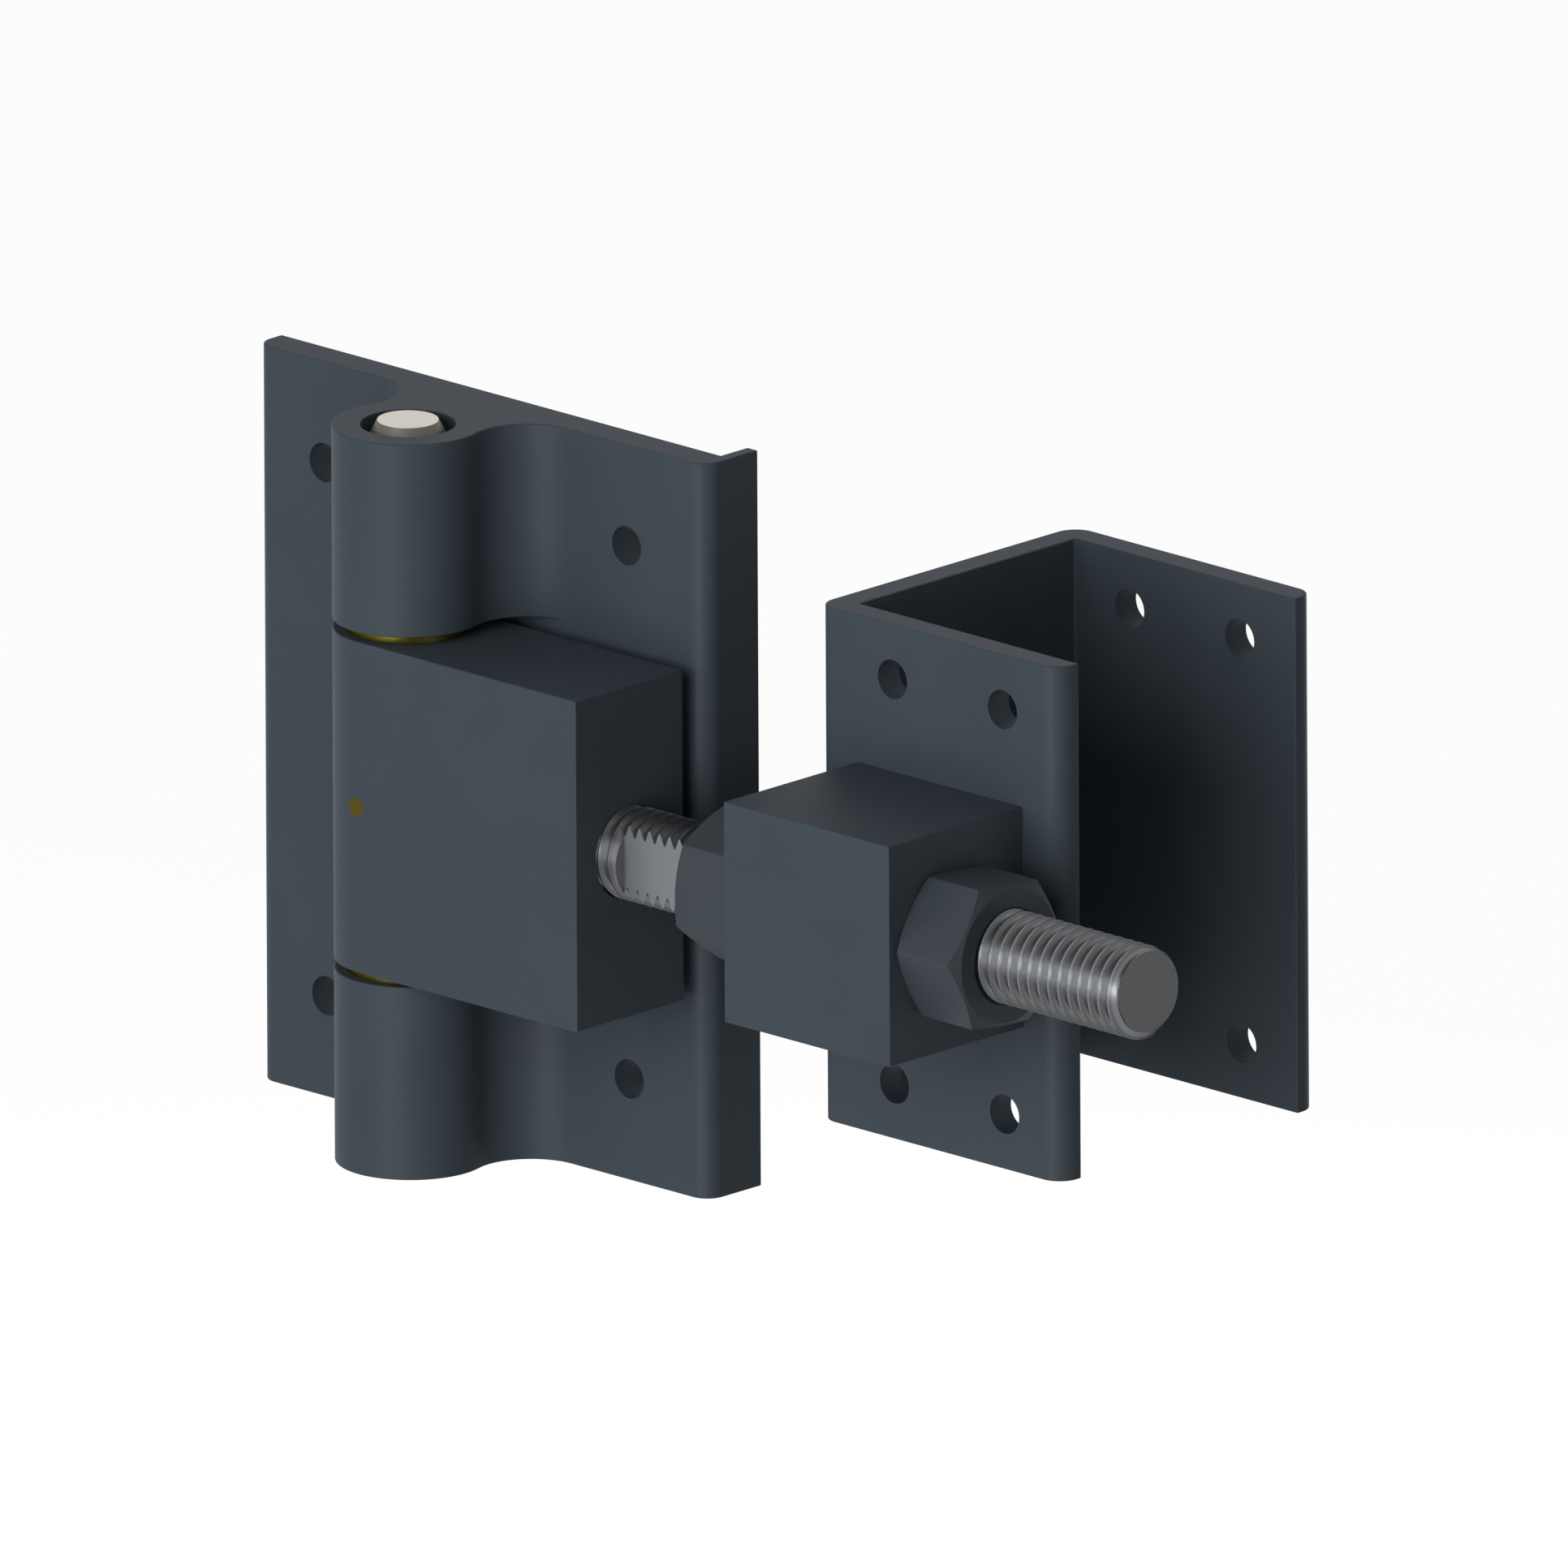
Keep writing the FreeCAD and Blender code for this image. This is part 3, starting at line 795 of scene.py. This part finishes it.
def turned_finish(name, colour, rim, axis, roughness, dullness, along="Z"):
    """Bare metal turned about an axis: fine rings on its ends and lines round its side."""
    finish = Finish(name)
    place = finish.coordinates()
    x, y, z = finish.axes(place)
    if along == "Z":
        first, second, length = x - axis.x, y - axis.y, z
    else:
        first, second, length = x - axis.x, z - axis.z, y
    rings, stain = turned_marks(finish, place, first, second, length)[1:]
    return finish.surface({
        "Base Color": finish.mix(stain * (0.12 + dullness), colour, tint(colour, 0.45)),
        "Metallic": 1.0,
        "Specular Tint": (*rim, 1),
        "Roughness": roughness + rings * 0.12 + stain * (0.05 + dullness * 0.2),
        "Normal": finish.bump(rings, 0.008 * MM),
    })


def oxide_finish(name, colour):
    """Black oxide on a screw, with a slight oily unevenness."""
    finish = Finish(name)
    place = finish.coordinates()
    cloud = finish.noise(place, 500, 3)
    grain = finish.noise(place, 4200, 2)
    return finish.surface({
        "Base Color": finish.mix(cloud, tint(colour, 0.8), tint(colour, 1.4)),
        "Roughness": 0.36 + cloud * 0.14,
        "Metallic": 0.35,
        "Normal": finish.bump(grain, 0.006 * MM),
    })


def dress(item, material):
    item.data.materials.clear()
    item.data.materials.append(material)


class HINGE_OT_cut_rod(Operator):
    """Cut the rod's thread, chamfer its ends and mill the two wrench flats"""

    bl_idname = "hinge.cut_rod"
    bl_label = "Cut the Adjusting Rod"

    def execute(self, context):
        rod_sizes = settings("rod")
        pitch = settings("thread").pitch
        rod = add_thread("threaded_rod", ROD_RADIUS, ROD_LOW.x - pitch, ROD_HIGH.x + pitch)
        wide = ROD_RADIUS + CUT_MARGIN
        blank = add_cylinder("blank", wide, ROD_HIGH.x - ROD_LOW.x, ROD_AXIS)
        select_only(blank)
        bpy.ops.object.mode_set(mode="EDIT")
        select_where(
            blank, "EDGE", lambda edge: any(len(face.verts) > 4 for face in edge.link_faces)
        )
        bpy.ops.mesh.bevel(offset=rod_sizes.chamfer + wide - ROD_RADIUS, segments=1)
        bpy.ops.object.mode_set(mode="OBJECT")
        combine(rod, blank, "INTERSECT")
        left = ROD_LOW.x + rod_sizes.flats_start
        right = left + rod_sizes.flats_length
        for side in (-1, 1):
            near = ROD_AXIS.y + side * rod_sizes.across_flats / 2
            far = ROD_AXIS.y + side * wide
            low = (left, min(near, far), ROD_AXIS.z - wide)
            high = (right, max(near, far), ROD_AXIS.z + wide)
            combine(rod, add_block(low, high), "DIFFERENCE")
        smooth(rod)
        dress(rod, zinc_finish("bright_zinc", settings("colours").zinc))
        hand_over(rod, "swing_arm", "adjusting_rod")
        return {"FINISHED"}


class HINGE_OT_make_nuts(Operator):
    """Make the two hexagon nuts with bevelled ends, countersinks and an inside thread"""

    bl_idname = "hinge.make_nuts"
    bl_label = "Make the Nuts"

    def execute(self, context):
        sizes = settings("nuts")
        coat = coat_finish("dark_nut_coat", settings("colours").nut_coat, 0.44, 0.15)
        for node, turn in (("inner_nut", sizes.inner_turn), ("outer_nut", sizes.outer_turn)):
            nut = self.make_nut(node, turn)
            even_shading(nut, 25)
            dress(nut, coat)
            hand_over(nut, node, node)
        return {"FINISHED"}

    def make_nut(self, node, turn):
        sizes = settings("nuts")
        low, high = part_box(node)
        height = high.x - low.x
        centre = Vector(((low.x + high.x) / 2, ROD_AXIS.y, ROD_AXIS.z))
        corner = sizes.across_flats / 2 / math.cos(HALF_HEXAGON)
        nut = self.hexagon_bar(f"{node}_threaded", corner, height, centre, turn)
        face = sizes.face_diameter / 2
        wide = corner + MM
        rise = (wide - face) * math.tan(sizes.bevel_angle)
        blank = add_cylinder("blank", wide, height - 2 * rise, centre, sides=120)
        taper_ends(blank, rise, face / wide)
        combine(nut, blank, "INTERSECT")
        bore = sizes.bore_diameter / 2
        mouth = sizes.countersink_diameter / 2
        sink = (mouth - bore) * math.tan(COUNTERSINK_SLOPE)
        drill = add_cylinder("drill", bore, height - 2 * sink, centre)
        taper_ends(drill, sink, mouth / bore)
        taper_ends(drill, MM, 1.0)
        combine(nut, drill, "DIFFERENCE")
        thread = settings("thread")
        crest = ROD_RADIUS + thread.clearance
        tap = add_thread("tap", crest, low.x - thread.pitch, high.x + thread.pitch)
        combine(nut, tap, "DIFFERENCE")
        return nut

    def hexagon_bar(self, name, corner, height, centre, turn):
        bar = add_cylinder(name, corner, height, (0, 0, 0), sides=6)
        select_only(bar)
        bpy.ops.object.mode_set(mode="EDIT")
        select_where(
            bar, "EDGE", lambda edge: abs(edge.verts[0].co.x - edge.verts[1].co.x) > height / 2
        )
        bpy.ops.mesh.bevel(offset=settings("nuts").edge_round, segments=3)
        bpy.ops.object.mode_set(mode="OBJECT")
        furthest = max(bar.data.vertices, key=lambda vertex: vertex.co.y).co
        lean = math.atan2(furthest.z, furthest.y)
        bar.rotation_euler.x = turn - lean
        bar.location = centre
        apply_place(bar)
        return bar


class HINGE_OT_coat_aluminium(Operator):
    """Round the edges of the leaf, both blocks and the bracket, and powder-coat them"""

    bl_idname = "hinge.coat_aluminium"
    bl_label = "Coat the Aluminium Pieces"

    def execute(self, context):
        coat = coat_finish("satin_powder_coat", settings("colours").powder_coat, 0.48, 0.12)
        leaf = soft_copy("knuckle_leaf", "leaf_extrusion", self.rims_screw_hole)
        swinging = soft_copy("hinge_block", "swinging_block", self.rims_dowel)
        clamped = soft_copy("adjuster_block", "clamped_block")
        channel = soft_copy("gate_bracket", "channel_bracket", self.rims_screw_hole)
        round_inside_corners(channel)
        for item, body, node in (
            (leaf, "post_side", "knuckle_leaf"),
            (swinging, "swing_arm", "hinge_block"),
            (clamped, "gate_side", "adjuster_block"),
            (channel, "gate_side", "gate_bracket"),
        ):
            even_shading(item)
            dress(item, coat)
            hand_over(item, body, node)
        return {"FINISHED"}

    def rims_screw_hole(self, edge):
        """The drilled screw holes keep their sharp rims."""
        middle = (edge.verts[0].co + edge.verts[1].co) / 2
        for mount in frame["record"]["mounts"]:
            if mount["kind"] != "bolt_pattern":
                continue
            sizes = mount["dims"]
            across = abs(middle.x - mount["pos_m"][0]) - sizes["spacing_x_mm"] / 2 * MM
            up = abs(middle.z - mount["pos_m"][2]) - sizes["spacing_y_mm"] / 2 * MM
            if math.hypot(across, up) < sizes["hole_r_mm"] * MM + RIM_MARGIN:
                return True
        return False

    def rims_dowel(self, edge):
        """The dowel is flush, so the rim of its hole stays sharp."""
        middle = (edge.verts[0].co + edge.verts[1].co) / 2 - PIN_AXIS
        return math.hypot(middle.x, middle.z) < DOWEL_REACH


class HINGE_OT_finish_metals(Operator):
    """Give the pin, the bushes, the dowel and the screws their turned and oxide finishes"""

    bl_idname = "hinge.finish_metals"
    bl_label = "Finish the Bare Metals"

    def execute(self, context):
        colours = settings("colours")
        nodes = frame["nodes"]
        dress(nodes["hinge_pin"], pin_finish("ground_steel", colours.ground_steel))
        bronze_rim = (0.55, 0.5, 0.2)
        bronze = turned_finish("turned_bronze", colours.bronze, bronze_rim, PIN_AXIS, 0.3, 0.3)
        dress(nodes["upper_bush"], bronze)
        dress(nodes["lower_bush"], bronze)
        brass_rim = (0.9, 0.85, 0.5)
        brass = turned_finish("turned_brass", colours.brass, brass_rim, PIN_AXIS, 0.28, 0.1, "Y")
        dress(nodes["cross_dowel"], brass)
        oxide = oxide_finish("black_oxide", colours.black_oxide)
        for node in ("block_screw_upper", "block_screw_lower"):
            dress(nodes[node], oxide)
        return {"FINISHED"}


class HINGE_OT_set_studio(Operator):
    """Set the camera, the lamps, the surroundings and the floor"""

    bl_idname = "hinge.set_studio"
    bl_label = "Set the Studio"

    def execute(self, context):
        self.set_camera(context)
        self.add_lamps()
        self.set_surroundings(context)
        self.add_floor()
        return {"FINISHED"}

    def set_camera(self, context):
        studio = settings("studio")
        azimuth, elevation, roll = studio.azimuth, studio.elevation, studio.roll
        right = Vector((math.cos(azimuth), math.sin(azimuth), 0))
        up = Vector((
            -math.sin(azimuth) * math.sin(elevation),
            math.cos(azimuth) * math.sin(elevation),
            math.cos(elevation),
        ))
        back = right.cross(up)
        rolled_right = right * math.cos(roll) - up * math.sin(roll)
        rolled_up = right * math.sin(roll) + up * math.cos(roll)
        centre = rolled_right * VIEW_RIGHT - rolled_up * VIEW_DOWN
        turn = Matrix((rolled_right, rolled_up, back)).transposed().to_euler()
        bpy.ops.object.camera_add(location=centre + back * CAMERA_DISTANCE, rotation=turn)
        camera = context.object
        camera.name = "photo_camera"
        camera.data.type = "ORTHO"
        camera.data.ortho_scale = studio.view_width
        camera.data.clip_start = 0.01
        camera.data.clip_end = 20.0
        context.scene.camera = camera

    def add_lamps(self):
        studio = settings("studio")
        target = (CAD_LOW + CAD_HIGH) / 2
        cool, white, warm = (0.95, 1.0, 1.0), (1.0, 1.0, 1.0), (1.0, 0.98, 0.95)
        far = studio.lamp_distance
        lamps = (
            ("key_lamp", (0.085, -0.974, 0.208), far, 1.3, studio.key_power, cool),
            ("fill_lamp", (0.642, -0.765, -0.05), far, 0.8, studio.fill_power, white),
            ("left_lamp", (-0.67, -0.73, 0.15), far, 0.35, studio.left_power, white),
            ("back_lamp", (-0.3, 0.94, 0.12), far, 1.0, studio.back_power, warm),
            ("low_card", (0.227, -0.931, -0.287), 1.0, 0.43, studio.card_power, white),
            ("right_lamp", (0.975, -0.22, 0.05), far, 0.15, studio.right_power, white),
        )
        for name, direction, distance, size, power, colour in lamps:
            ray = Vector(direction).normalized()
            turn = ray.to_track_quat("Z", "Y").to_euler()
            place = target + ray * distance
            bpy.ops.object.light_add(type="AREA", location=place, rotation=turn)
            lamp = bpy.context.object
            lamp.name = name
            lamp.data.shape = "SQUARE"
            lamp.data.size = size
            lamp.data.energy = power
            lamp.data.color = colour
        for name in ("low_card", "right_lamp"):
            bpy.data.objects[name].visible_diffuse = False
        for name in ("fill_lamp", "back_lamp"):
            bpy.data.objects[name].visible_glossy = False
        bpy.data.objects["right_lamp"].data.use_shadow = False

    def set_surroundings(self, context):
        finish = Finish("studio_surroundings", "worlds")
        white = (1, 1, 1, 1)
        level = settings("studio").ambient
        kind = "ShaderNodeBackground"
        ambient = finish.shade(kind, "Background", None, {"Color": white, "Strength": level})
        backdrop = finish.shade(kind, "Background", None, {"Color": white, "Strength": 1.0})
        layers = {0: finish.background_rays(), 1: ambient, 2: backdrop}
        shown = finish.shade("ShaderNodeMixShader", "Shader", None, layers)
        finish.node("ShaderNodeOutputWorld", None, {"Surface": shown})
        context.scene.world = finish.owner
        context.scene.view_settings.view_transform = "Standard"

    def add_floor(self):
        height = CAD_LOW.z - settings("studio").floor_drop
        bpy.ops.object.select_all(action="DESELECT")
        bpy.ops.mesh.primitive_plane_add(size=FLOOR_SIZE, location=(0, 0, height))
        floor = bpy.context.object
        floor.name = "studio_floor"
        apply_place(floor)
        finish = Finish("pale_floor")
        glow = finish.mix(finish.background_rays(), (0, 0, 0), (FLOOR_GLOW,) * 3)
        material = finish.surface({
            "Base Color": (FLOOR_TONE, FLOOR_TONE, FLOOR_TONE, 1),
            "Roughness": 0.9,
            "Specular IOR Level": 0.0,
            "Emission Color": glow,
            "Emission Strength": 1.0,
        })
        dress(floor, material)


class HINGE_PT_finish(Panel):
    """Lists the steps and their settings in the sidebar"""

    bl_label = "Gate Hinge"
    bl_space_type = "VIEW_3D"
    bl_region_type = "UI"
    bl_category = "Gate Hinge"

    def draw(self, context):
        layout = self.layout
        for name, group in SETTINGS.items():
            box = layout.box()
            box.label(text=name.title())
            for field in group.__annotations__:
                box.prop(settings(name), field)
        for step in STEPS:
            layout.operator(step.bl_idname)


SETTINGS = {
    "thread": ThreadSizes,
    "rod": RodSizes,
    "nuts": NutSizes,
    "pin": PinSizes,
    "edges": EdgeSizes,
    "colours": FinishColours,
    "studio": StudioSettings,
}
STEPS = (
    HINGE_OT_cut_rod,
    HINGE_OT_make_nuts,
    HINGE_OT_coat_aluminium,
    HINGE_OT_finish_metals,
    HINGE_OT_set_studio,
)


def register():
    for group in SETTINGS.values():
        bpy.utils.register_class(group)
    for step in STEPS:
        bpy.utils.register_class(step)
    bpy.utils.register_class(HINGE_PT_finish)
    for name, group in SETTINGS.items():
        setattr(bpy.types.Scene, f"gate_hinge_{name}", PointerProperty(type=group))


def unregister():
    for name in SETTINGS:
        delattr(bpy.types.Scene, f"gate_hinge_{name}")
    bpy.utils.unregister_class(HINGE_PT_finish)
    for step in reversed(STEPS):
        bpy.utils.unregister_class(step)
    for group in reversed(SETTINGS.values()):
        bpy.utils.unregister_class(group)


def main():
    register()
    bpy.ops.hinge.cut_rod()
    bpy.ops.hinge.make_nuts()
    bpy.ops.hinge.coat_aluminium()
    bpy.ops.hinge.finish_metals()
    bpy.ops.hinge.set_studio()


if __name__ == "__main__":
    main()
